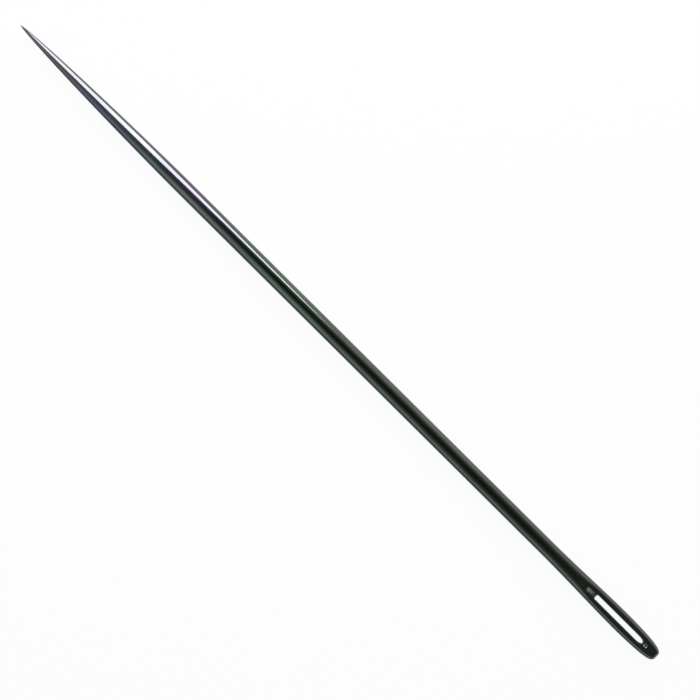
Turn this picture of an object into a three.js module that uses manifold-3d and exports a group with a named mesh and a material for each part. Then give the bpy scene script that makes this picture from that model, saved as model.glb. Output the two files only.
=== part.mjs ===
// A long hand sewing needle, made from one length of steel wire: a ground point, a plain
// round shank, and a head stamped flatter and wider than the wire, with a long narrow eye.
// Sizes are millimetres and +Z is up. The needle lies along X on the plane Z = 0, with its
// point at -X and its eye at +X, and the eye opens straight up.

import * as THREE from "three";
import { mergeVertices } from "three/addons/utils/BufferGeometryUtils.js";
import Module from "manifold-3d";

const wasm = await Module();
wasm.setup();
const { lerp, smoothstep } = THREE.MathUtils;

// The wire
const LENGTH = 150;
const WIRE_DIAMETER = 2.8;

// The ground point. A power of 1 would leave a crease where the point meets the shank, and
// a fullness of 1 would leave a straight-sided tip: less than 1 makes the tip stouter.
const POINT_LENGTH = 39.8;
const POINT_POWER = 1.6;
const POINT_FULLNESS = 0.6;

// The stamped head. It widens over the flare and is widest where the nose starts. Its two
// flats run out onto the round wire, and its rounded sides reach in by the edge rounding.
const HEAD_WIDTH = 3.45;
const HEAD_THICKNESS = 2.2;
const FLARE_LENGTH = 18;
const FLAT_RUNOUT = 3.6;
const EDGE_ROUNDING = 0.88;

// The blunt nose at the eye end, as long as its curve is from above and from the side. It
// narrows by the taper, the more the higher its power the nearer the end, and then closes with
// corners that a squareness of 2 would round to an oval.
const NOSE_LENGTH = 7.65;
const NOSE_DOME = 1;
const NOSE_TAPER = 0.17;
const NOSE_TAPER_POWER = 1.5;
const NOSE_SQUARENESS = 5;

// The eye. The bridge is the steel between the eye and the end of the nose. The lip is how
// deep the rounding of the eye's edges goes, so that the thread isn't cut.
const EYE_LENGTH = 11.25;
const EYE_WIDTH = 0.85;
const EYE_BRIDGE = 3;
const EYE_CORNER = 0.15;
const EYE_TAPER = 1.2;
const EYE_LIP = 0.25;

// The gutters that the thread lies in as it leaves the eye, on both faces. Their depths are
// measured from the face where they are cut.
const GUTTER_DEPTH = 0.4;
const GUTTER_END_DEPTH = 0.14;
const SHANK_GUTTER_LENGTH = 2.2;
const NOSE_GUTTER_LENGTH = 0.8;

// How finely the curves are divided
const SIDE_STEPS = 14;
const POINT_RINGS = 20;
const FLARE_RINGS = 40;
const NOSE_RINGS = 16;
const LIP_STEPS = 4;
const ARC_STEPS = 8;
const GUTTER_SIDES = 24;

// How far the eye's punch stands out of the faces that it cuts
const OVERCUT = 0.02;

// Stations along the needle, counted from the tip of the point
const EYE_NOSE_END = LENGTH - EYE_BRIDGE;
const EYE_SHANK_END = EYE_NOSE_END - EYE_LENGTH;
const GUTTER_START = EYE_SHANK_END - SHANK_GUTTER_LENGTH;
const FLAT_FULL = EYE_SHANK_END - EYE_LIP;
const FLAT_START = FLAT_FULL - FLAT_RUNOUT;
const NOSE_START = LENGTH - NOSE_LENGTH;
const FLARE_START = NOSE_START - FLARE_LENGTH;

// The wire's section is a regular polygon that stands on one of its sides. It is as high as
// the wire is thick, so its corners lie a little outside the wire's own round.
const WIRE_RADIUS = WIRE_DIAMETER / 2;
const HALF_FACET = Math.PI / (2 * SIDE_STEPS + 2);
const WIRE_CORNER = WIRE_RADIUS / Math.cos(HALF_FACET);

// The share of the wire's full thickness that grinding has left at a station of the point
function pointShare(station) {
  const along = Math.min(station / POINT_LENGTH, 1);
  return (1 - (1 - along) ** POINT_POWER) ** POINT_FULLNESS;
}

// How far along a rounding of this length at the end of the nose a station is, from 0 to 1
function noseAlong(station, rounding) {
  return Math.max(1 - (LENGTH - station) / rounding, 0);
}

// The share of the full size that such a rounding leaves. With n the squareness, its outline
// is along^n + share^n = 1.
function noseShare(along) {
  return (1 - along ** NOSE_SQUARENESS) ** (1 / NOSE_SQUARENESS);
}

// Half the width, half the thickness and half the straight part of the section at a station
function sectionAt(station) {
  const ground = pointShare(station);
  const widened = smoothstep(station, FLARE_START, NOSE_START);
  const pressed = smoothstep(station, FLAT_START, FLAT_FULL);
  const nose = noseAlong(station, NOSE_LENGTH);
  const narrowed = 1 - NOSE_TAPER * nose ** NOSE_TAPER_POWER;
  const inPlan = ground * narrowed * noseShare(nose);
  const fromSide = ground * noseShare(noseAlong(station, NOSE_DOME));
  const width = lerp(WIRE_CORNER, HEAD_WIDTH / 2, widened);
  const straight = Math.max(width - EDGE_ROUNDING, 0) * pressed;
  const thickness = lerp(WIRE_RADIUS, HEAD_THICKNESS / 2, pressed);
  return {
    width: width * inPlan,
    straight: straight * inPlan,
    thickness: thickness * fromSide,
  };
}

// One ring of points round the needle: the two halves of an oval, moved apart by the
// straight part. The round wire has no straight part, so its halves meet.
function ringAt(station) {
  const { width, straight, thickness } = sectionAt(station);
  const crown = thickness / Math.cos(HALF_FACET);
  const ring = [];
  for (const side of [1, -1]) {
    for (let step = 0; step <= SIDE_STEPS; step += 1) {
      const angle = HALF_FACET * (1 + 2 * step);
      const y = side * (straight + (width - straight) * Math.sin(angle));
      const z = side * crown * Math.cos(angle);
      ring.push(new THREE.Vector3(station - LENGTH / 2, y, z));
    }
  }
  return ring;
}

// A closed skin over a ring at each station, with a fan to a point on the axis at both ends
function skin(start, stations, end) {
  const rings = stations.map(ringAt);
  const around = rings[0].length;
  const points = rings.flat();
  const startPoint = points.push(new THREE.Vector3(start - LENGTH / 2, 0, 0)) - 1;
  const endPoint = points.push(new THREE.Vector3(end - LENGTH / 2, 0, 0)) - 1;
  const lastRing = (rings.length - 1) * around;
  const faces = [];
  for (let here = 0; here < around; here += 1) {
    const next = (here + 1) % around;
    faces.push(startPoint, here, next);
    faces.push(endPoint, lastRing + next, lastRing + here);
    for (let base = 0; base < lastRing; base += around) {
      faces.push(base + here, base + around + here, base + next);
      faces.push(base + next, base + around + here, base + around + next);
    }
  }
  const geometry = new THREE.BufferGeometry().setFromPoints(points);
  geometry.setIndex(faces);
  return geometry;
}

// The point and the round shank. The rings are close together at the tip, where the point
// curves most, and the straight wire needs none between its ends.
function shankGeometry() {
  const stations = [];
  for (let ring = 1; ring <= POINT_RINGS; ring += 1) {
    stations.push(POINT_LENGTH * (ring / POINT_RINGS) ** 2);
  }
  const onShank = stations.filter((station) => station < FLARE_START);
  return skin(0, [...onShank, FLARE_START], FLARE_START);
}

// The head before it is pierced. The nose's rings are evenly turned round its curve.
function headBlank() {
  const stations = [];
  for (let ring = 0; ring <= FLARE_RINGS; ring += 1) {
    stations.push(lerp(FLARE_START, NOSE_START, ring / FLARE_RINGS));
  }
  for (let ring = 1; ring < NOSE_RINGS; ring += 1) {
    const turn = (Math.PI / 2) * (ring / NOSE_RINGS);
    stations.push(NOSE_START + NOSE_LENGTH * Math.sin(turn));
  }
  return skin(FLARE_START, stations, LENGTH);
}

// The eye's punch. It is square at the shank end and tapers round at the nose end, and a
// quarter round flares it towards both faces, which leaves the eye a smooth lip.
function eyePunch() {
  const half = EYE_WIDTH / 2;
  const back = EYE_SHANK_END - LENGTH / 2 + EYE_CORNER;
  const front = EYE_NOSE_END - LENGTH / 2 - EYE_TAPER;
  const outline = new THREE.Shape();
  outline.absellipse(front, 0, EYE_TAPER, half, -Math.PI / 2, Math.PI / 2);
  outline.absarc(back, half - EYE_CORNER, EYE_CORNER, Math.PI / 2, Math.PI);
  outline.absarc(back, EYE_CORNER - half, EYE_CORNER, Math.PI, 1.5 * Math.PI);
  outline.closePath();
  const flare = EYE_LIP + OVERCUT;
  const straight = HEAD_THICKNESS - 2 * EYE_LIP;
  const geometry = new THREE.ExtrudeGeometry(outline, {
    depth: straight,
    bevelThickness: flare,
    bevelSize: -flare,
    bevelOffset: flare,
    bevelSegments: LIP_STEPS,
    curveSegments: ARC_STEPS,
  });
  return geometry.translate(0, 0, -straight / 2);
}

// The ball-ended cutter of a gutter in the upper face, as thick as the eye is wide. The
// gutter's floor is deepest where it leaves the eye's full width and rises evenly from there,
// so the gutter also narrows towards its closed end.
function gutterCutter(eyeEnd, closedEnd) {
  const radius = EYE_WIDTH / 2;
  const lastBall = closedEnd - Math.sign(closedEnd - eyeEnd) * radius;
  const ballAt = (station, depth) => {
    const face = sectionAt(station).thickness;
    return new THREE.Vector3(station - LENGTH / 2, 0, face - depth + radius);
  };
  const from = ballAt(eyeEnd, GUTTER_DEPTH);
  const to = ballAt(lastBall, GUTTER_END_DEPTH);
  const run = to.clone().sub(from);
  const geometry = new THREE.CapsuleGeometry(radius, run.length(), ARC_STEPS, GUTTER_SIDES);
  const axis = new THREE.Vector3(0, 1, 0);
  const turn = new THREE.Quaternion().setFromUnitVectors(axis, run.normalize());
  const middle = from.lerp(to, 0.5);
  return geometry.applyQuaternion(turn).translate(middle.x, middle.y, middle.z);
}

// A closed mesh as a solid that can be cut
function toSolid(geometry) {
  geometry.deleteAttribute("normal");
  geometry.deleteAttribute("uv");
  const merged = mergeVertices(geometry);
  const vertProperties = new Float32Array(merged.attributes.position.array);
  const triVerts = new Uint32Array(merged.index.array);
  return new wasm.Manifold(new wasm.Mesh({ numProp: 3, vertProperties, triVerts }));
}

// A cut solid as a mesh's geometry
function toGeometry(solid) {
  const { vertProperties, triVerts } = solid.getMesh();
  const geometry = new THREE.BufferGeometry();
  geometry.setAttribute("position", new THREE.BufferAttribute(vertProperties, 3));
  geometry.setIndex(new THREE.BufferAttribute(triVerts, 1));
  return geometry;
}

// The stamped head, pierced by the eye, with a gutter off both ends of the eye on the upper
// face and on the under face
function headGeometry() {
  const upper = [
    gutterCutter(EYE_SHANK_END, GUTTER_START),
    gutterCutter(EYE_NOSE_END - EYE_TAPER, EYE_NOSE_END + NOSE_GUTTER_LENGTH),
  ];
  const under = upper.map((cutter) => cutter.clone().rotateX(Math.PI));
  let head = toSolid(headBlank());
  for (const cutter of [eyePunch(), ...upper, ...under]) {
    head = head.subtract(toSolid(cutter));
  }
  return toGeometry(head);
}

// Hardened high-carbon steel, ground and polished dark
function polishedSteel() {
  return new THREE.MeshStandardMaterial({ color: 0x6b706d, roughness: 0.2, metalness: 1 });
}

// A stretch of the wire, with its axis one radius above the plane that the wire lies on
function wirePiece(name, geometry) {
  geometry.computeVertexNormals();
  const mesh = new THREE.Mesh(geometry, polishedSteel());
  mesh.name = name;
  mesh.position.z = WIRE_RADIUS;
  return mesh;
}

const sewingNeedle = new THREE.Group();
sewingNeedle.name = "long_hand_sewing_needle";
sewingNeedle.add(wirePiece("shank", shankGeometry()));
sewingNeedle.add(wirePiece("head", headGeometry()));

export default sewingNeedle;
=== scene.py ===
"""A long hand sewing needle of dark polished steel, lying on a pale studio floor.

The needle is one piece of steel, so it is one closed mesh. Sizes are in millimetres, stations are
counted along the needle from the tip of its point, and heights from its axis, as a needle maker
would. They are turned to metres in the part's own frame where the mesh is made.
"""

import logging
import math
from dataclasses import dataclass
from enum import Enum

import bpy
import numpy as np
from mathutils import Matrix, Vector


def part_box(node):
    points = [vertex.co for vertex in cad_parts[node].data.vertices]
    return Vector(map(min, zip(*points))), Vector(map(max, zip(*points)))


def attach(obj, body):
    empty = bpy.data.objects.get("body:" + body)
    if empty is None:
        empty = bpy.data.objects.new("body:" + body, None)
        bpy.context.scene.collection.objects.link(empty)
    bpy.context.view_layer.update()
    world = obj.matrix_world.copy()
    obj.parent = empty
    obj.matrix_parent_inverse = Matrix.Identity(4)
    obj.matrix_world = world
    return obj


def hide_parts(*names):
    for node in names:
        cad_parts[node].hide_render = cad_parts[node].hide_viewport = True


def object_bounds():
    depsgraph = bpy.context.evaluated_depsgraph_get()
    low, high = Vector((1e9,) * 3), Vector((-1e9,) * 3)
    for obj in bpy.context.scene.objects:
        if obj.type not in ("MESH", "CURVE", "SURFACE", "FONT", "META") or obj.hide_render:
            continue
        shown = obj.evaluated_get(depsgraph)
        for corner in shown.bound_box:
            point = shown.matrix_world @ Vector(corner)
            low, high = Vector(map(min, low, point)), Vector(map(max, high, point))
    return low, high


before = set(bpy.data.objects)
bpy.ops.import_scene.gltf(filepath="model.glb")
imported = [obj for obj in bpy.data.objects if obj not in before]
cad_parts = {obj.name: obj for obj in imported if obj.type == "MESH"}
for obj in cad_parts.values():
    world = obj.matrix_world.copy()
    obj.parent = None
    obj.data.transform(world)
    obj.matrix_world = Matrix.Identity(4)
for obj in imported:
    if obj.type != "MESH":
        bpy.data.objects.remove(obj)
cad_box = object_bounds()

MM = 0.001
WHITE = "#ffffff"
TINY = 1e-9  # A length that counts as none, so that nothing is divided by zero.
LINE_POINTS = 400  # How many points a curved line in plan is drawn with.
CORNER_POINTS = 200  # How many points each rounded end of the slot is drawn with.
FITTING_ROUNDS = 20  # How often a gutter's closed end is drawn in until it fits.
WELD_DIGITS = 6  # Points that agree to this many decimals of a millimetre are one point.
ONLY_IN_STEEL = ("camera", "diffuse", "transmission", "shadow", "volume_scatter")
log = logging.getLogger("needle")


def linear(hex_colour: str) -> tuple[float, float, float, float]:
    """Turns an sRGB hex colour to the linear colour that a shader takes.

    Each channel c is c / 12.92 near black, and ((c + 0.055) / 1.055) to the power 2.4 above.

    Args:
        hex_colour: Six hex digits after a #.

    Returns:
        Linear red, green, blue and an alpha of 1.
    """
    channels = [int(hex_colour[start:start + 2], 16) / 255 for start in (1, 3, 5)]
    return (*[c / 12.92 if c <= 0.04045 else ((c + 0.055) / 1.055) ** 2.4 for c in channels], 1.0)


def bare_tree(owner: bpy.types.Material | bpy.types.World) -> bpy.types.NodeTree:
    """Turns on the nodes of a material or a world, and takes out those that it comes with."""
    owner.use_nodes = True
    owner.node_tree.nodes.clear()
    return owner.node_tree


def add_node(
    tree: bpy.types.NodeTree, kind: str, values: dict | None = None, **settings: object
) -> bpy.types.Node:
    """Adds a node to a tree, with its settings, its values and its links.

    Args:
        tree: The node tree that gets the node.
        kind: Blender's name for the kind of node.
        values: For each input, by name or number, either its value or the socket linked to it.
        settings: The node's own properties.

    Returns:
        The new node.
    """
    node = tree.nodes.new(kind)
    for name, setting in settings.items():
        setattr(node, name, setting)
    for name, value in (values or {}).items():
        if isinstance(value, bpy.types.NodeSocket):
            tree.links.new(value, node.inputs[name])
        else:
            node.inputs[name].default_value = value
    return node


def smooth_step(value: np.ndarray, start: float, end: float) -> np.ndarray:
    """Rises from 0 at start to 1 at end as 3 t^2 - 2 t^3, with t the share of the way."""
    t = np.clip((value - start) / (end - start), 0, 1)
    return t * t * (3 - 2 * t)


def smooth_min(one: np.ndarray, other: np.ndarray, reach: float) -> np.ndarray:
    """The lower of two heights, with the crease between them rounded.

    Where they differ by less than the reach r, the lower one drops by (r - difference)^2 / 4r.

    Args:
        one: Heights of the first surface.
        other: Heights of the second surface at the same places.
        reach: The difference at which the rounding starts.

    Returns:
        The heights of the joined surface.
    """
    near = np.maximum(reach - np.abs(one - other), 0)
    return np.minimum(one, other) - near**2 / (4 * reach)


@dataclass(frozen=True)
class Rail:
    """A line in plan that the head's mesh follows, in stretches that each take some columns.

    Attributes:
        stretches: The points (station, offset) of each stretch. A stretch starts where the last
            one ended.
    """

    stretches: tuple[np.ndarray, ...]

    def columns(self, counts: tuple[int, ...]) -> np.ndarray:
        """Spaces each stretch's columns evenly by the length of its line.

        Args:
            counts: How many columns each stretch has.

        Returns:
            One point for each column, and one more where the last stretch ends.
        """
        found = []
        for line, count in zip(self.stretches, counts):
            steps = np.hypot(*np.diff(line, axis=0).T)
            along = np.concatenate([[0], np.cumsum(steps)])
            at = np.linspace(0, along[-1], count + 1)[:-1]
            found.append(np.stack([np.interp(at, along, line[:, axis]) for axis in (0, 1)], -1))
        return np.concatenate([*found, self.stretches[-1][-1:]])

    def distance(self, station: np.ndarray, offset: np.ndarray) -> np.ndarray:
        """The distance of points from the line: from the nearest place on any of its pieces.

        The nearest place on a piece is the share (gap dot run) / (run dot run) of the way
        along it, kept between 0 and 1.

        Args:
            station: Stations of the points.
            offset: Their distances from the needle's middle line.

        Returns:
            Their distances from the line.
        """
        line = np.concatenate(self.stretches)
        start, run = line[:-1], np.diff(line, axis=0)
        gap = np.stack([station, offset], -1)[..., None, :] - start
        share = (gap * run).sum(-1) / np.maximum((run**2).sum(-1), TINY**2)
        return np.linalg.norm(gap - np.clip(share, 0, 1)[..., None] * run, axis=-1).min(-1)


@dataclass(frozen=True)
class GroundPoint:
    """The sharpened stretch at the front of the wire.

    Attributes:
        length: How far the grinding reaches from the tip.
        power: How softly the taper runs out onto the wire; 1 would leave a crease.
        fullness: The power that fills the tip out; 1 would leave it straight-sided, and less
            makes it stouter.
    """

    length: float = 39.8
    power: float = 1.6
    fullness: float = 0.6

    def share(self, station: np.ndarray) -> np.ndarray:
        """The share of the wire's thickness that is left: (1 - (1 - u)^power)^fullness."""
        left = 1 - np.clip(station / self.length, 0, 1)
        return (1 - left**self.power) ** self.fullness


@dataclass(frozen=True)
class Blank:
    """The needle before it is pierced: a ground point, a round wire and a stamped head.

    Attributes:
        length: From the tip to the end of the nose.
        wire_radius: Half the wire's diameter.
        head_start: The station where the wire starts to widen.
        head_half_width: Half the head's width where it is widest.
        point: The ground point.
        head_half_thickness: Half the distance between the head's two flats.
        flat_start: The station where the flats start to run out of the round wire.
        flat_full: The station from which the flats have their full depth.
        edge_rounding: How far the head's round sides reach in towards its middle.
        nose_length: How long the nose's curve is, seen from above.
        nose_dome: How long the nose's curve is, seen from the side.
        nose_taper: The share by which the nose narrows before its corners.
        nose_taper_power: How late it narrows; 1 would start at once.
        nose_squareness: How square its corners are; 2 would be an oval.
    """

    length: float
    wire_radius: float
    head_start: float
    head_half_width: float
    point: GroundPoint = GroundPoint()
    head_half_thickness: float = 1.1
    flat_start: float = 131.9
    flat_full: float = 135.5
    edge_rounding: float = 0.88
    nose_length: float = 7.65
    nose_dome: float = 1.0
    nose_taper: float = 0.17
    nose_taper_power: float = 1.5
    nose_squareness: float = 5

    @property
    def nose_start(self) -> float:
        """The station where the head is widest."""
        return self.length - self.nose_length

    def nose_along(self, station: np.ndarray, rounding: float) -> np.ndarray:
        """How far along a rounding at the end of the nose a station is, from 0 to 1."""
        return np.clip(1 - (self.length - station) / rounding, 0, 1)

    def nose_share(self, along: np.ndarray) -> np.ndarray:
        """The share of the size that a rounding leaves: share^n = 1 - along^n."""
        return (1 - along**self.nose_squareness) ** (1 / self.nose_squareness)

    def section(self, station: np.ndarray) -> tuple[np.ndarray, np.ndarray, np.ndarray]:
        """The section across the needle: two half ovals moved apart by a straight part.

        Args:
            station: Stations along the needle.

        Returns:
            Half the width, half the straight part and half the thickness at each station.
        """
        ground = self.point.share(station)
        widened = smooth_step(station, self.head_start, self.nose_start)
        pressed = smooth_step(station, self.flat_start, self.flat_full)
        nose = self.nose_along(station, self.nose_length)
        narrowed = 1 - self.nose_taper * nose**self.nose_taper_power
        in_plan = ground * narrowed * self.nose_share(nose)
        from_side = ground * self.nose_share(self.nose_along(station, self.nose_dome))
        width = self.wire_radius + (self.head_half_width - self.wire_radius) * widened
        straight = np.maximum(width - self.edge_rounding, 0) * pressed
        thickness = self.wire_radius + (self.head_half_thickness - self.wire_radius) * pressed
        return width * in_plan, straight * in_plan, thickness * from_side

    def height(self, station: np.ndarray, offset: np.ndarray) -> np.ndarray:
        """The upper face's height: flat over the straight part, and an oval beyond it.

        With u the share of the way from the straight part to the side, it is the half
        thickness times the square root of 1 - u^2.

        Args:
            station: Stations of the points.
            offset: Their distances from the needle's middle line.

        Returns:
            Their heights over the needle's axis.
        """
        width, straight, thickness = self.section(station)
        curved = np.maximum(width - straight, TINY)
        u = np.clip((offset - straight) / curved, 0, 1)
        return thickness * np.sqrt(1 - u**2)

    def outline(self, start: float, side: float, shoulder: float) -> Rail:
        """The line that the head's upper face ends on, from its middle line round to its nose.

        It crosses the needle at the start and then follows the needle's side. The nose is
        drawn by an angle: with n its squareness, the share along it is sine^(2/n). The points
        crowd towards its end, as 1 - (1 - t)^3.

        Args:
            start: The station where the line crosses the needle.
            side: The station up to which the eye's first corner fans out.
            shoulder: The station where the nose's fan starts.

        Returns:
            The four stretches of the line.
        """
        fine = np.linspace(0, 1, LINE_POINTS)
        across = self.section(np.array(start))[0] * np.sin(fine * math.pi / 2)
        first = start + (side - start) * fine
        second = side + (shoulder - side) * fine
        along = (shoulder - self.nose_start) / self.nose_length
        turned = math.asin(along ** (self.nose_squareness / 2))
        angle = turned + (math.pi / 2 - turned) * (1 - (1 - fine) ** 3)
        nose = self.nose_start + self.nose_length * np.sin(angle) ** (2 / self.nose_squareness)
        nose[-1] = self.length
        return Rail((
            np.stack([np.full_like(fine, start), across], -1),
            *(np.stack([line, self.section(line)[0]], -1) for line in (first, second, nose)),
        ))


class EyeEnd(Enum):
    """The two ends of the eye, by the way in which a gutter runs out of each."""

    SHANK = -1
    NOSE = 1


@dataclass(frozen=True)
class Gutter:
    """A round-bottomed groove that the thread lies in as it leaves the eye.

    It is cut by a ball whose middle moves along a hollow curve, from deep at the eye to
    shallow at the tail.

    Attributes:
        blank: What it is cut in.
        end: The end of the eye that it leaves.
        mouth: The station where it is deepest.
        tail: The station of the middle of its round closed end.
        radius: The ball's radius.
        mouth_depth: Its depth below the face at the mouth.
        tail_depth: Its depth below the face at the tail.
        steepening: The power with which its floor rises; 1 would leave it straight.
    """

    blank: Blank
    end: EyeEnd
    mouth: float
    tail: float
    radius: float
    mouth_depth: float = 0.4
    tail_depth: float = 0.14
    steepening: float = 1.5

    def middle(
        self, station: np.ndarray, section: np.ndarray | float = 0.0
    ) -> tuple[np.ndarray, np.ndarray]:
        """The height of the ball's middle as the ball cuts the floor at a station.

        With t the share of the way from the mouth to the tail, it rises as t^steepening. The
        ball cuts a little ahead of its middle, by the radius of its section times the sine of
        the line's slope.

        Args:
            station: Stations of the points.
            section: The radius of the ball's section through each point, along the needle.

        Returns:
            That height over the needle's axis, and how far the station is from the middle.
        """
        faces = self.blank.section(np.array([self.mouth, self.tail]))[2]
        first, last = faces + self.radius - (self.mouth_depth, self.tail_depth)
        run = abs(self.tail - self.mouth)
        along = (station - self.mouth) / (self.tail - self.mouth)
        slope = (last - first) / run * self.steepening * np.clip(along, 0, 1) ** (
            self.steepening - 1)
        share = np.clip(along - section * slope / np.hypot(slope, 1) / run, 0, 1)
        return first + (last - first) * share**self.steepening, (along - share) * run

    def floor(self, station: np.ndarray, offset: np.ndarray) -> np.ndarray:
        """The groove's height: the middle's height - sqrt(radius^2 - past^2 - offset^2).

        Args:
            station: Stations of the points.
            offset: Their distances from the needle's middle line.

        Returns:
            The height of the groove's floor at each point, and infinity outside the groove.
        """
        section = np.sqrt(np.maximum(self.radius**2 - offset**2, 0))
        middle, past = self.middle(station, section)
        inside = section**2 - past**2
        return np.where(inside > 0, middle - np.sqrt(np.maximum(inside, 0)), np.inf)

    def half_width(self, station: np.ndarray) -> np.ndarray:
        """Half the groove's width in the face, sqrt(radius^2 - past^2 - rise^2).

        The rise is how far the ball's middle is over the face.

        Args:
            station: Stations along the groove.

        Returns:
            Half the width there, and 0 where there is no groove.
        """
        middle, past = self.middle(station)
        rise = middle - self.blank.section(station)[2]
        return np.sqrt(np.maximum(self.radius**2 - past**2 - rise**2, 0))

    def closed_end(self, turn: np.ndarray) -> np.ndarray:
        """The outline of its closed end in the face, found by drawing it in until it fits.

        Its reach from the tail is sqrt(radius^2 - rise^2), with the rise taken where it ends.

        Args:
            turn: Angles from the needle's middle line, seen from the tail.

        Returns:
            One point (station, offset) for each angle.
        """
        reach = np.full_like(turn, self.radius)
        for _ in range(FITTING_ROUNDS):
            station = self.tail + self.end.value * reach * np.cos(turn)
            rise = self.middle(station)[0] - self.blank.section(station)[2]
            reach = np.sqrt(np.maximum(self.radius**2 - rise**2, 0))
        return np.stack([station, reach * np.sin(turn)], -1)


@dataclass(frozen=True)
class Eye:
    """The thread's slot, with the lip round it and a gutter at each end, on both faces.

    Attributes:
        start: The station of its square end, towards the shank.
        end: The station of its round end, towards the nose.
        half_width: Half the slot's width.
        corner: The radius of the square end's corners.
        taper: How long the round end's oval is.
        lip: How deep the rounding of its edges goes, and how far it spreads over the face.
        shank_gutter_length: From the slot's square end to the gutter's closed end.
        nose_gutter_length: From the slot's round end to the gutter's closed end.
        edge_softness: The height over which the gutters' edges are polished round.
    """

    start: float = 135.75
    end: float = 147.0
    half_width: float = 0.425
    corner: float = 0.15
    taper: float = 1.2
    lip: float = 0.25
    shank_gutter_length: float = 2.2
    nose_gutter_length: float = 0.8
    edge_softness: float = 0.08

    def gutters(self, blank: Blank) -> tuple[Gutter, Gutter]:
        """The gutters at the shank end and at the nose end, each as round as the slot is wide.

        Args:
            blank: What they are cut in.

        Returns:
            The two gutters of the upper face.
        """
        radius = self.half_width
        shank_tail = self.start - self.shank_gutter_length + radius
        nose_tail = self.end + self.nose_gutter_length - radius
        return (
            Gutter(blank, EyeEnd.SHANK, self.start, shank_tail, radius),
            Gutter(blank, EyeEnd.NOSE, self.end - self.taper, nose_tail, radius),
        )

    def slot(self, spread: float = 0.0) -> Rail:
        """Half the slot's outline, from its square end round to its round end.

        The corner is a quarter circle and the round end a quarter of an oval. Each point is
        moved outwards by the spread, square to the outline.

        Args:
            spread: How far outside the slot the outline runs.

        Returns:
            Its four stretches: the end, the corner, the side and the round end.
        """
        turn = np.linspace(0, math.pi / 2, CORNER_POINTS)
        radius = self.corner + spread
        square = self.start - spread
        corner_middle = (self.start + self.corner, self.half_width - self.corner)
        taper_start = self.end - self.taper
        corner = np.stack([
            corner_middle[0] - radius * np.cos(turn),
            corner_middle[1] + radius * np.sin(turn),
        ], -1)
        oval = np.stack([self.taper * np.sin(turn), self.half_width * np.cos(turn)], -1)
        square_to_oval = np.stack([
            self.half_width * np.sin(turn), self.taper * np.cos(turn)
        ], -1)
        square_to_oval /= np.linalg.norm(square_to_oval, axis=1, keepdims=True)
        oval += (taper_start, 0) + spread * square_to_oval
        oval[-1, 1] = 0
        return Rail((
            np.array([[square, 0], corner[0]]),
            corner,
            np.array([corner[-1], oval[0]]),
            oval,
        ))

    def pocket(self, blank: Blank) -> Rail:
        """Half the outline of everything that the eye takes out of the face.

        It is the wider of the lip's outer edge and the gutters' edges at each station. The
        shank gutter's edge draws in by a hair at its tail; the outline runs straight on there.

        Args:
            blank: What it is taken out of.

        Returns:
            Its four stretches: the shank gutter's round end, that gutter's side, the lip's
            side and the nose gutter.
        """
        shank, nose = self.gutters(blank)
        _, corner, side, oval = self.slot(self.lip).stretches
        fine = np.linspace(0, 1, LINE_POINTS)
        turn = fine * math.pi / 2
        round_end = shank.closed_end(turn)
        round_end[:, 1] = np.maximum.accumulate(round_end[:, 1])
        along = shank.tail + (side[0, 0] - shank.tail) * fine
        lip_width = np.where(along < corner[0, 0], 0, np.interp(along, *corner.T))
        gutter_width = np.where(along < shank.mouth, shank.half_width(along), 0)
        first_width = np.maximum(np.maximum(lip_width, gutter_width), round_end[-1, 1])
        first = np.stack([along, first_width], -1)
        reach = nose.closed_end(turn[:1])[0, 0]
        past = side[-1, 0] + (reach - side[-1, 0]) * np.sin(turn)
        lip_width = np.where(past > oval[-1, 0], 0, np.interp(past, *oval.T))
        last = np.stack([past, np.maximum(lip_width, nose.half_width(past))], -1)
        last[-1] = (reach, 0)
        return Rail((round_end, first, side, last))

    def carve(self, blank: Blank, station: np.ndarray, offset: np.ndarray) -> np.ndarray:
        """Cuts the gutters and the lip into the blank.

        The gutters are joined by the smooth minimum. Within the lip's spread of the slot the
        surface drops by lip - sqrt(lip^2 - (lip - distance)^2), a quarter round.

        Args:
            blank: What they are cut in.
            station: Stations of the points.
            offset: Their distances from the needle's middle line.

        Returns:
            The heights of the finished upper face.
        """
        height = blank.height(station, offset)
        for gutter in self.gutters(blank):
            floor = gutter.floor(station, offset)
            height = smooth_min(height, floor, self.edge_softness)
        inside = np.maximum(self.lip - self.slot().distance(station, offset), 0)
        return height - self.lip + np.sqrt(np.maximum(self.lip**2 - inside**2, 0))


class Side(Enum):
    """The needle's two halves seen from above: the lower one on the shadow side and the upper one
    on the softbox's side, each with its own painted light in its colour.
    """

    LOWER = "lower"
    UPPER = "upper"


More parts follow.
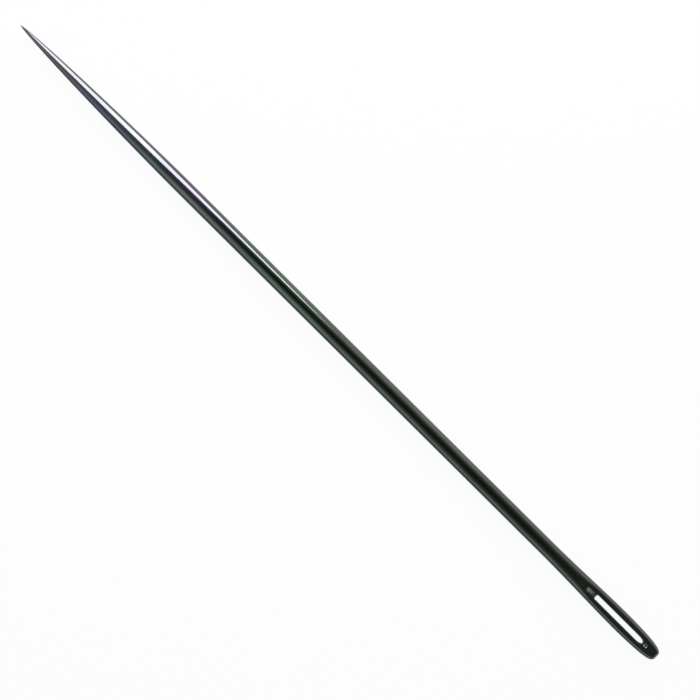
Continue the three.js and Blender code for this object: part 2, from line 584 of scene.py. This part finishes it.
@dataclass(frozen=True)
class DarkPolishedSteel:
    """Hardened high-carbon steel wire, ground, tempered and tumbled to a dark polish.

    Polished steel mirrors its surroundings in soft bands along the needle. Tempering leaves a
    breath of oxide on it, which the polishing thins but doesn't take off: blue-grey at the
    point, where the thin wire gets hottest, and green-grey along the rest. On top of that the
    two halves seen from above carry painted light in their colours: the upper half, on the
    softbox's side, is painted lighter and greyer at the point and violet behind it, which tints
    the bright line that the softbox draws there, and the lower half, on the shadow side, stays
    bluer. The grinding and the tumbling leave fine marks along the wire.

    Attributes:
        colours: For both halves, the colour at stations along the needle: the oxide, with that
            half's painted light.
        length: The needle's length.
        blend: How far from the middle line the lower side's colour ends and the upper side's
            is full.
        cloud_size: How long a cloud of thinner or thicker oxide is.
        cloud_width: How wide a cloud is next to its length.
        cloud_depth: How much lighter and darker the clouds are.
        cloud_detail: How ragged their edges are.
        cloud_span: The thinnest and the thickest value of the noise that the clouds come from.
        mark_width: How wide a polishing mark is. Real ones are a few hundredths of a
            millimetre; these are wide enough to show.
        mark_length: How long a mark is next to its width.
        mark_depth: How deep a mark is.
        mark_detail: How many finer marks lie between them.
        roughness: How much the polish spreads what it mirrors.
        roughness_range: How much that varies between the clouds.
    """

    colours: dict[Side, tuple[tuple[float, str], ...]]
    length: float
    blend: tuple[float, float] = (-0.7, 0.9)
    cloud_size: float = 6
    cloud_width: float = 0.3
    cloud_depth: float = 0.12
    cloud_detail: float = 3.0
    cloud_span: tuple[float, float] = (0.3, 0.7)
    mark_width: float = 0.16
    mark_length: float = 90
    mark_depth: float = 0.0006
    mark_detail: float = 2.0
    roughness: float = 0.11
    roughness_range: float = 0.04

    def side_colour(
        self, tree: bpy.types.NodeTree, along: bpy.types.NodeSocket, side: Side
    ) -> bpy.types.NodeSocket:
        """Adds the ramp of one half's colour along the needle: the oxide, with that half's painted
        light.

        Args:
            tree: The material's tree.
            along: The share of the needle's length from its tip.
            side: Which side it is.

        Returns:
            The colour's socket.
        """
        ramp = add_node(tree, "ShaderNodeValToRGB", {0: along})
        stops = ramp.color_ramp.elements
        for _ in self.colours[side][2:]:
            stops.new(0.5)
        for stop, (station, colour) in zip(stops, self.colours[side]):
            stop.position = station / self.length
            stop.color = linear(colour)
        return ramp.outputs["Color"]

    def material(self) -> bpy.types.Material:
        """Builds the material.

        The colour goes from the lower half's to the upper half's across the wire, which paints
        light over the oxide: the softbox's half lighter and violet, the shadow half bluer. The
        clouds make it lighter or darker and the polish duller or finer. The marks are a
        noise that is drawn out along the wire, as bump.

        Returns:
            A material that reads Object coordinates.
        """
        material = bpy.data.materials.new("dark_polished_steel")
        tree = bare_tree(material)
        place = add_node(tree, "ShaderNodeTexCoord").outputs["Object"]
        parts = add_node(tree, "ShaderNodeSeparateXYZ", {0: place})
        half = self.length / 2 * MM
        along = add_node(tree, "ShaderNodeMapRange", {
            "Value": parts.outputs["X"], "From Min": -half, "From Max": half
        }).outputs[0]
        # Painted light: the share of the softbox's half's colour across the wire, rising from the
        # shadow half's; the mix below is the oxide with this painted light.
        start, end = self.blend
        across = add_node(tree, "ShaderNodeMapRange", {
            "Value": parts.outputs["Y"], "From Min": start * MM, "From Max": end * MM
        }, interpolation_type="SMOOTHSTEP").outputs[0]
        oxide = add_node(tree, "ShaderNodeMix", {
            0: across,
            6: self.side_colour(tree, along, Side.LOWER),
            7: self.side_colour(tree, along, Side.UPPER),
        }, data_type="RGBA")

        stretch = add_node(tree, "ShaderNodeMapping", {
            "Vector": place, "Scale": (self.cloud_width, 1, 1)
        })
        clouds = add_node(tree, "ShaderNodeTexNoise", {
            "Vector": stretch.outputs[0],
            "Scale": 1 / (self.cloud_size * MM * self.cloud_width),
            "Detail": self.cloud_detail,
        })
        thinnest, thickest = self.cloud_span
        shade, polish = (add_node(tree, "ShaderNodeMapRange", {
            "Value": clouds.outputs[0], "From Min": thinnest, "From Max": thickest,
            "To Min": middle - reach, "To Max": middle + reach,
        }) for middle, reach in (
            (1, self.cloud_depth), (self.roughness, self.roughness_range / 2)
        ))
        colour = add_node(tree, "ShaderNodeVectorMath", {
            0: oxide.outputs[2], "Scale": shade.outputs[0]
        }, operation="SCALE")

        drawn = add_node(tree, "ShaderNodeMapping", {
            "Vector": place, "Scale": (1 / self.mark_length, 1, 1)
        })
        marks = add_node(tree, "ShaderNodeTexNoise", {
            "Vector": drawn.outputs[0], "Scale": 1 / (self.mark_width * MM),
            "Detail": self.mark_detail,
        })
        relief = add_node(tree, "ShaderNodeBump", {
            "Height": marks.outputs[0], "Distance": self.mark_depth * MM,
        })
        shader = add_node(tree, "ShaderNodeBsdfPrincipled", {
            "Base Color": colour.outputs[0],
            "Metallic": 1.0,
            "Roughness": polish.outputs[0],
            "Normal": relief.outputs[0],
        })
        add_node(tree, "ShaderNodeOutputMaterial", {"Surface": shader.outputs[0]})
        return material


@dataclass(frozen=True)
class Needle:
    """The needle's one mesh, and its finish.

    Attributes:
        blank: Its outer form.
        eye: What is pierced through the head.
        finish: Its steel.
        eye_start: The station where the rings end and the mesh starts to run round the eye.
        corner_lead: How far before the end of the slot's corner the head's side has the last
            column of that corner.
        shoulder_lag: How far past the start of the slot's round end the head's side has the
            first column of that end.
        point_rings: How many rings the ground point has.
        wire_rings: How many rings the even wire has.
        flare_rings: How many rings there are from where it widens to the eye's mesh.
        round_columns: How many columns a quarter of its section has.
        eye_columns: How many columns leave the slot's corner, its side and its round end.
        pocket_rows: How many rows there are from the slot to the pocket's edge.
        face_rows: How many rows there are from the pocket's edge to the head's outline.
        wall_rows: How many rows half the depth of the eye's wall has.
        rim_crowding: How closely the samples that space the face's rows crowd at the outline.
    """

    blank: Blank
    eye: Eye
    finish: DarkPolishedSteel
    eye_start: float = 132.8
    corner_lead: float = 0.3
    shoulder_lag: float = 0.5
    point_rings: int = 48
    wire_rings: int = 56
    flare_rings: int = 48
    round_columns: int = 16
    eye_columns: tuple[int, int, int] = (20, 76, 44)
    pocket_rows: int = 24
    face_rows: int = 30
    wall_rows: int = 6
    rim_crowding: int = 6

    def shank_quarter(self) -> np.ndarray:
        """A quarter of the skin from the tip to where the mesh starts to run round the eye.

        Each ring is turned evenly from the crown to the side: the offset is the half width
        times the sine of the angle. Rings are closest at the tip, as t^2, and over the flare.

        Returns:
            A grid of points (station, offset, height).
        """
        point = self.blank.point.length
        head = self.blank.head_start
        stations = np.concatenate([
            point * np.linspace(0, 1, self.point_rings + 1)[:-1] ** 2,
            np.linspace(point, head, self.wire_rings + 1)[:-1],
            np.linspace(head, self.eye_start, self.flare_rings + 1),
        ])[:, None]
        angle = np.linspace(0, math.pi / 2, self.round_columns + 1)[None]
        station, angle = np.broadcast_arrays(stations, angle)
        offset = self.blank.section(station)[0] * np.sin(angle)
        height = self.blank.height(station, offset)
        height[:, -1] = 0
        return np.stack([station, offset, height], -1)

    def even_rows(self, inner: np.ndarray, outer: np.ndarray, rim: np.ndarray) -> np.ndarray:
        """Spaces the face's rows in plan so that they are even over the curved skin.

        The skin's length is added up over fine samples, which crowd towards the outer line as
        1 - (1 - t)^crowding, because the skin is steepest there.

        Args:
            inner: The points of the inner line, one for each column.
            outer: The points of the outer line.
            rim: The skin's heights on the outer line.

        Returns:
            The points of the rows in plan, without the inner line.
        """
        fine = 1 - (1 - np.linspace(0, 1, LINE_POINTS)) ** self.rim_crowding
        plan = inner + (outer - inner) * fine[:, None, None]
        height = self.blank.height(plan[..., 0], plan[..., 1])
        height[-1] = rim
        steps = np.diff(np.concatenate([plan, height[..., None]], -1), axis=0)
        along = np.cumsum(np.linalg.norm(steps, axis=-1), axis=0)
        along = np.concatenate([np.zeros_like(along[:1]), along]) / along[-1]
        wanted = np.linspace(0, 1, self.face_rows + 1)[1:]
        share = np.stack([np.interp(wanted, line, fine) for line in along.T], -1)
        return inner + (outer - inner) * share[..., None]

    def head_quarters(self) -> tuple[np.ndarray, np.ndarray]:
        """A quarter of the skin round the eye, and a quarter of the eye's wall.

        The columns run out from the slot over the pocket's edge to the head's outline. Inside
        the pocket their rows are closest at the slot and at the pocket's edge, by a cosine.

        Returns:
            Two grids of points (station, offset, height).
        """
        first = self.round_columns
        counts = (first, *self.eye_columns)
        slot = self.eye.slot().columns(counts)
        pocket = self.eye.pocket(self.blank).columns(counts)
        side = self.eye.start + self.eye.corner - self.corner_lead
        shoulder = self.eye.end - self.eye.taper + self.shoulder_lag
        outline = self.blank.outline(self.eye_start, side, shoulder).columns(counts)
        crossing = np.linspace(0, math.pi / 2, first + 1)
        outline[:first + 1, 1] = outline[first, 1] * np.sin(crossing)
        rim = self.blank.height(outline[:, 0], outline[:, 1])
        rim[first:] = 0

        turn = np.linspace(0, math.pi, self.pocket_rows + 1)
        inner = (1 - np.cos(turn))[:, None, None] / 2
        outer = self.even_rows(pocket, outline, rim)
        plan = np.concatenate([slot + (pocket - slot) * inner, outer])
        station, offset = plan[..., 0], plan[..., 1]
        height = self.eye.carve(self.blank, station, offset)
        height[-1] = rim
        top = np.stack([station, offset, height], -1)
        down = np.linspace(0, 1, self.wall_rows + 1)[:, None]
        wall = np.stack(np.broadcast_arrays(
            slot[None, :, 0], slot[None, :, 1], height[:1] * down
        ), -1)
        return top, wall

    def mesh(self) -> bpy.types.Mesh:
        """Mirrors the quarters into the whole needle and welds them into one closed mesh.

        Returns:
            The mesh, in metres in the part's frame, with its faces pointing out.
        """
        shank = self.shank_quarter()
        head, wall = self.head_quarters()
        points, quads, count = [], [], 0
        for grid in (shank, head[::-1], wall[::-1]):
            for across, upright in ((1, 1), (-1, 1), (-1, -1), (1, -1)):
                copy = grid * (1, across, upright)
                copy = copy if across * upright > 0 else copy[:, ::-1]
                at = count + np.arange(copy.shape[0] * copy.shape[1]).reshape(copy.shape[:2])
                quads.append(np.stack([
                    at[:-1, :-1], at[1:, :-1], at[1:, 1:], at[:-1, 1:]
                ], -1).reshape(-1, 4))
                points.append(copy.reshape(-1, 3))
                count += at.size
        points = np.concatenate(points)
        # Adding 0 turns a rounded -0 to 0, so that both sides of a middle line weld.
        rounded = np.round(points, WELD_DIGITS) + 0.0
        _, kept, welded = np.unique(rounded, axis=0, return_index=True, return_inverse=True)
        points = points[kept]
        quads = welded.reshape(-1)[np.concatenate(quads)]
        at_tip = quads[:, 0] == quads[:, 3]
        faces = quads[~at_tip].tolist() + quads[at_tip][:, :3].tolist()
        points = points - (self.blank.length / 2, 0, -self.blank.wire_radius)
        mesh = bpy.data.meshes.new("needle")
        mesh.from_pydata(points * MM, [], faces)
        mesh.shade_smooth()
        return mesh

    def build(self) -> bpy.types.Object:
        """Makes the needle, dresses it and puts it in the place of the part's two nodes.

        Returns:
            The needle's object.
        """
        mesh = self.mesh()
        mesh.materials.append(self.finish.material())
        needle = bpy.data.objects.new("needle", mesh)
        bpy.context.scene.collection.objects.link(needle)
        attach(needle, "root")
        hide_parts("shank", "head")
        return needle


@dataclass(frozen=True)
class Studio:
    """A pale floor in a white tent, with a dark cloth, a softbox, a grey sheet of painted shadow
    and a camera.

    Polished steel shows what is round it more than its own colour. So a dark cloth hangs over
    the camera, as is usual for a mirror-like thing that is photographed from straight above.
    It gives the needle its dark middle, and the tent's walls give it its lighter sides. A
    tapered softbox beside the front half draws the bright line there. A glowing grey sheet over
    the floor, which only the steel sees, is painted shadow: it stands for the needle's shadow
    on the floor and draws the dark line of the lower edge.

    Attributes:
        aim: The point of the needle's middle plane at the middle of the picture.
        turn: How far the camera is turned about the upright, in degrees.
        picture_width: The width that the picture shows at the needle's axis.
        lens: The camera's focal length.
        film: The width of its film.
        floor_half: Half the floor's side.
        floor_colour: The floor's own colour.
        floor_white: The share of plain white in the floor that the camera sees.
        floor_in_steel: The share of plain white in the floor that the steel mirrors.
        tent_light: The tent's strength as a light; it looks white whatever this is.
        cloth_height: How high the dark cloth hangs.
        cloth_half: Half its side.
        cloth_width: Half the width of its dark part over the needle's middle.
        cloth_flare: How much that half width grows for each length towards the eye.
        cloth_least: The least that half width may be.
        cloth_power: How suddenly the dark part ends at that half width.
        cloth_point_end: Where it starts to thin out towards the point, and where it has.
        cloth_eye_end: The same towards the eye.
        cloth_hem: Where it turns a little paler over the head, and where it has.
        hem_white: The share of white that it lets through from there on.
        cloth_glow: Its brightness next to the tent's white.
        cloth_colour: The tint of that glow, which makes the cloth a warm brown-black.
        softbox_lean: How far from the upright the softbox's middle stands, in degrees.
        softbox_distance: How far the softbox's plane is from the needle.
        softbox_corners: Its corners in its plane: along the needle, and down from the middle.
        softbox_strength: Its brightness next to the tent's white.
        softbox_colour: The colour of its light, with a breath of pink as many lamps have.
        shadow_sheet_start: How far from the needle's middle the sheet of painted shadow starts.
        shadow_sheet_end: How far from it the sheet ends.
        shadow_sheet_height: How high it lies over the floor.
        shadow_sheet_colour: The grey that it glows with, a painted shadow that the steel mirrors.
    """

    aim: tuple[float, float] = (2.53, 0.29)
    turn: float = 44.8
    picture_width: float = 117.3
    lens: float = 85
    film: float = 36
    floor_half: float = 4000
    floor_colour: str = "#f6f6f4"
    floor_white: float = 0.94
    floor_in_steel: float = 0.1
    tent_light: float = 0.4
    cloth_height: float = 450
    cloth_half: float = 2200
    cloth_width: float = 560
    cloth_flare: float = 2.7
    cloth_least: float = 400
    cloth_power: float = 2.5
    cloth_point_end: tuple[float, float] = (-30, -380)
    cloth_eye_end: tuple[float, float] = (330, 450)
    cloth_hem: tuple[float, float] = (130, 165)
    hem_white: float = 0.06
    cloth_glow: float = 0.056
    cloth_colour: str = "#ffefd6"
    softbox_lean: float = 50
    softbox_distance: float = 300
    softbox_corners: tuple[tuple[float, float], ...] = (
        (-210, -240), (-210, 130), (-117, 180), (-15, 42), (-15, 8), (-60, -38), (-117, -168)
    )
    softbox_strength: float = 8
    softbox_colour: str = "#fff7fc"
    shadow_sheet_start: float = 2.5
    shadow_sheet_end: float = 1500
    shadow_sheet_height: float = 0.1
    shadow_sheet_colour: str = "#929c99"

    def panel(
        self, name: str, corners: np.ndarray, material: bpy.types.Material,
        hidden_from: tuple[str, ...]
    ) -> bpy.types.Object:
        """Puts a flat panel of the studio up.

        Args:
            name: The panel's name.
            corners: Its corners in millimetres.
            material: What it is made of.
            hidden_from: The kinds of ray that pass it.

        Returns:
            The panel.
        """
        mesh = bpy.data.meshes.new(name)
        mesh.from_pydata(corners * MM, [], [tuple(range(len(corners)))])
        mesh.materials.append(material)
        panel = bpy.data.objects.new(name, mesh)
        for kind in hidden_from:
            setattr(panel, "visible_" + kind, False)
        bpy.context.scene.collection.objects.link(panel)
        return panel

    def square(self, half: float, height: float) -> np.ndarray:
        """The corners of a level square over the needle's middle, in millimetres."""
        return np.array([
            (x * half, y * half, height) for x, y in ((-1, -1), (1, -1), (1, 1), (-1, 1))
        ])

    def even_light(self, name: str, colour: str, strength: float) -> bpy.types.Material:
        """The look of a panel that sends out one even light.

        Args:
            name: The material's name.
            colour: The light's sRGB colour.
            strength: Its brightness next to the tent's white.

        Returns:
            The material.
        """
        material = bpy.data.materials.new(name)
        tree = bare_tree(material)
        glow = add_node(tree, "ShaderNodeEmission", {
            "Color": linear(colour), "Strength": strength
        })
        add_node(tree, "ShaderNodeOutputMaterial", {"Surface": glow.outputs[0]})
        return material

    def lay_floor(self) -> None:
        """Lays the floor. The camera sees its shadows through a share of plain white."""
        material = bpy.data.materials.new("pale_floor")
        tree = bare_tree(material)
        paper = add_node(tree, "ShaderNodeBsdfDiffuse", {"Color": linear(self.floor_colour)})
        white = add_node(tree, "ShaderNodeEmission", {"Color": linear(WHITE)})
        ray = add_node(tree, "ShaderNodeLightPath")
        seen = add_node(tree, "ShaderNodeMath", {
            0: ray.outputs["Is Camera Ray"], 1: ray.outputs["Is Transmission Ray"]
        }, operation="MAXIMUM")
        seen = add_node(tree, "ShaderNodeMath", {
            0: seen.outputs[0], 1: self.floor_white
        }, operation="MULTIPLY")
        mirrored = add_node(tree, "ShaderNodeMath", {
            0: ray.outputs["Is Glossy Ray"], 1: self.floor_in_steel, 2: seen.outputs[0]
        }, operation="MULTIPLY_ADD")
        mix = add_node(tree, "ShaderNodeMixShader", {
            0: mirrored.outputs[0], 1: paper.outputs[0], 2: white.outputs[0]
        })
        add_node(tree, "ShaderNodeOutputMaterial", {"Surface": mix.outputs[0]})
        self.panel("floor", self.square(self.floor_half, 0), material, ())

    def pitch_tent(self) -> None:
        """Sets the world: white to the eye and in the steel, and softer as a light."""
        world = bpy.data.worlds.new("white_tent")
        tree = bare_tree(world)
        ray = add_node(tree, "ShaderNodeLightPath")
        seen = add_node(tree, "ShaderNodeMath", {
            0: ray.outputs["Is Camera Ray"], 1: ray.outputs["Is Glossy Ray"]
        }, operation="MAXIMUM")
        seen = add_node(tree, "ShaderNodeMath", {
            0: seen.outputs[0], 1: ray.outputs["Is Transmission Ray"]
        }, operation="MAXIMUM")
        strength = add_node(tree, "ShaderNodeMapRange", {
            "Value": seen.outputs[0], "To Min": self.tent_light, "To Max": 1.0
        })
        back = add_node(tree, "ShaderNodeBackground", {
            "Color": linear(WHITE), "Strength": strength.outputs[0]
        })
        add_node(tree, "ShaderNodeOutputWorld", {"Surface": back.outputs[0]})
        bpy.context.scene.world = world

    def hang_cloth(self) -> None:
        """Hangs the dark cloth, which thins out to the tent's white on all sides.

        Across the needle the share of white is q^n / (1 + q^n), where n is the power and q the
        distance from the middle over the cloth's half width there, which grows towards the eye.
        Three fades along the needle, at the point's end, the eye's end and the hem, each give a
        share too, and the largest of the four holds.
        """
        material = bpy.data.materials.new("dark_cloth")
        tree = bare_tree(material)
        place = add_node(tree, "ShaderNodeTexCoord")
        place = add_node(tree, "ShaderNodeSeparateXYZ", {0: place.outputs["Object"]})
        widest = add_node(tree, "ShaderNodeMath", {
            0: place.outputs["X"], 1: self.cloth_flare, 2: self.cloth_width * MM
        }, operation="MULTIPLY_ADD")
        width = add_node(tree, "ShaderNodeMath", {
            0: widest.outputs[0], 1: self.cloth_least * MM
        }, operation="MAXIMUM")
        away = add_node(tree, "ShaderNodeMath", {
            0: place.outputs["Y"], 1: width.outputs[0]
        }, operation="DIVIDE")
        away = add_node(tree, "ShaderNodeMath", {0: away.outputs[0]}, operation="ABSOLUTE")
        raised = add_node(tree, "ShaderNodeMath", {
            0: away.outputs[0], 1: self.cloth_power
        }, operation="POWER")
        more = add_node(tree, "ShaderNodeMath", {0: raised.outputs[0], 1: 1.0}, operation="ADD")
        thin = add_node(tree, "ShaderNodeMath", {
            0: raised.outputs[0], 1: more.outputs[0]
        }, operation="DIVIDE")
        for (start, end), white in (
            (self.cloth_point_end, 1.0), (self.cloth_eye_end, 1.0),
            (self.cloth_hem, self.hem_white),
        ):
            fade = add_node(tree, "ShaderNodeMapRange", {
                "Value": place.outputs["X"], "From Min": start * MM, "From Max": end * MM,
                "To Max": white,
            }, interpolation_type="SMOOTHSTEP")
            thin = add_node(tree, "ShaderNodeMath", {
                0: thin.outputs[0], 1: fade.outputs[0]
            }, operation="MAXIMUM")
        glow = add_node(tree, "ShaderNodeEmission", {
            "Color": linear(self.cloth_colour), "Strength": self.cloth_glow
        })
        clear = add_node(tree, "ShaderNodeBsdfTransparent")
        mix = add_node(tree, "ShaderNodeMixShader", {
            0: thin.outputs[0], 1: glow.outputs[0], 2: clear.outputs[0]
        })
        add_node(tree, "ShaderNodeOutputMaterial", {"Surface": mix.outputs[0]})
        corners = self.square(self.cloth_half, self.cloth_height)
        self.panel("dark_cloth", corners, material, ONLY_IN_STEEL)

    def stand_softbox(self) -> None:
        """Stands the softbox beside the needle's front half, facing the needle."""
        lean = math.radians(self.softbox_lean)
        middle = self.softbox_distance * np.array([0, math.sin(lean), math.cos(lean)])
        along = np.array([1, 0, 0])
        down = np.array([0, math.cos(lean), -math.sin(lean)])
        corners = np.array([middle + x * along + t * down for x, t in self.softbox_corners])
        glow = self.even_light("softbox", self.softbox_colour, self.softbox_strength)
        self.panel("softbox", corners, glow, ("camera",))

    def lay_painted_shadow_sheet(self) -> None:
        """Lays a glowing grey sheet beside the needle, which only the steel sees: a painted shadow
        that gives its lower edge a dark line.
        """
        near, far = -self.shadow_sheet_start, -self.shadow_sheet_end
        corners = np.array([
            (x, y, self.shadow_sheet_height)
            for x, y in ((far, far), (-far, far), (-far, near), (far, near))
        ])
        # Painted shadow: an even grey glow where the floor would lie in the needle's shadow.
        glow = self.even_light("painted_shadow_sheet", self.shadow_sheet_colour, 1.0)
        self.panel("painted_shadow_sheet", corners, glow, ONLY_IN_STEEL)

    def set_camera(self, axis_height: float) -> None:
        """Hangs the camera so that its picture is as wide as wanted at the needle's axis.

        Its height over the axis is the picture's width times the lens over the film.

        Args:
            axis_height: The height of the needle's axis over the floor, in millimetres.
        """
        data = bpy.data.cameras.new("camera")
        data.lens = self.lens
        data.sensor_width = self.film
        camera = bpy.data.objects.new("camera", data)
        height = axis_height + self.picture_width * self.lens / self.film
        camera.location = Vector((*self.aim, height)) * MM
        camera.rotation_euler = (0, 0, math.radians(self.turn))
        bpy.context.scene.collection.objects.link(camera)
        bpy.context.scene.camera = camera

    def build(self, axis_height: float) -> None:
        """Puts up the whole studio.

        Args:
            axis_height: The height of the needle's axis over the floor, in millimetres.
        """
        self.lay_floor()
        self.pitch_tent()
        self.hang_cloth()
        self.stand_softbox()
        self.lay_painted_shadow_sheet()
        self.set_camera(axis_height)
        bpy.context.scene.view_settings.view_transform = "Standard"


def main() -> None:
    logging.basicConfig(level=logging.INFO, format="%(message)s")
    low, high = (np.array(corner) / MM for corner in cad_box)
    head_low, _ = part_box("head")
    blank = Blank(
        length=high[0] - low[0],
        wire_radius=(high[2] - low[2]) / 2,
        head_start=head_low[0] / MM - low[0],
        head_half_width=(high[1] - low[1]) / 2,
    )
    # The oxide's colours along each half. What differs between the halves is painted light: the
    # upper half, on the softbox's side, lighter and greyer at the point and violet where the
    # bright line runs, and the lower half, on the shadow side, bluer.
    steel = DarkPolishedSteel({
        Side.LOWER: ((0, "#565f64"), (25, "#59626a"), (39, "#5f6a68"), (60, "#5c6964")),
        Side.UPPER: (
            (0, "#636464"), (20, "#636567"), (32, "#5f626b"), (42, "#62606e"),
            (56, "#5d6a66"), (75, "#5f6e5d"), (125, "#5f695c"), (142, "#5d6764"),
        ),
    }, blank.length)
    needle = Needle(blank, Eye(), steel).build()
    log.info("needle: %d vertices, %d faces", len(needle.data.vertices), len(needle.data.polygons))
    Studio().build(blank.wire_radius)
    # The grey card in this line is the sheet of painted shadow.
    log.info("studio: floor, tent, dark cloth, softbox, grey card and camera")


if __name__ == "__main__":
    main()
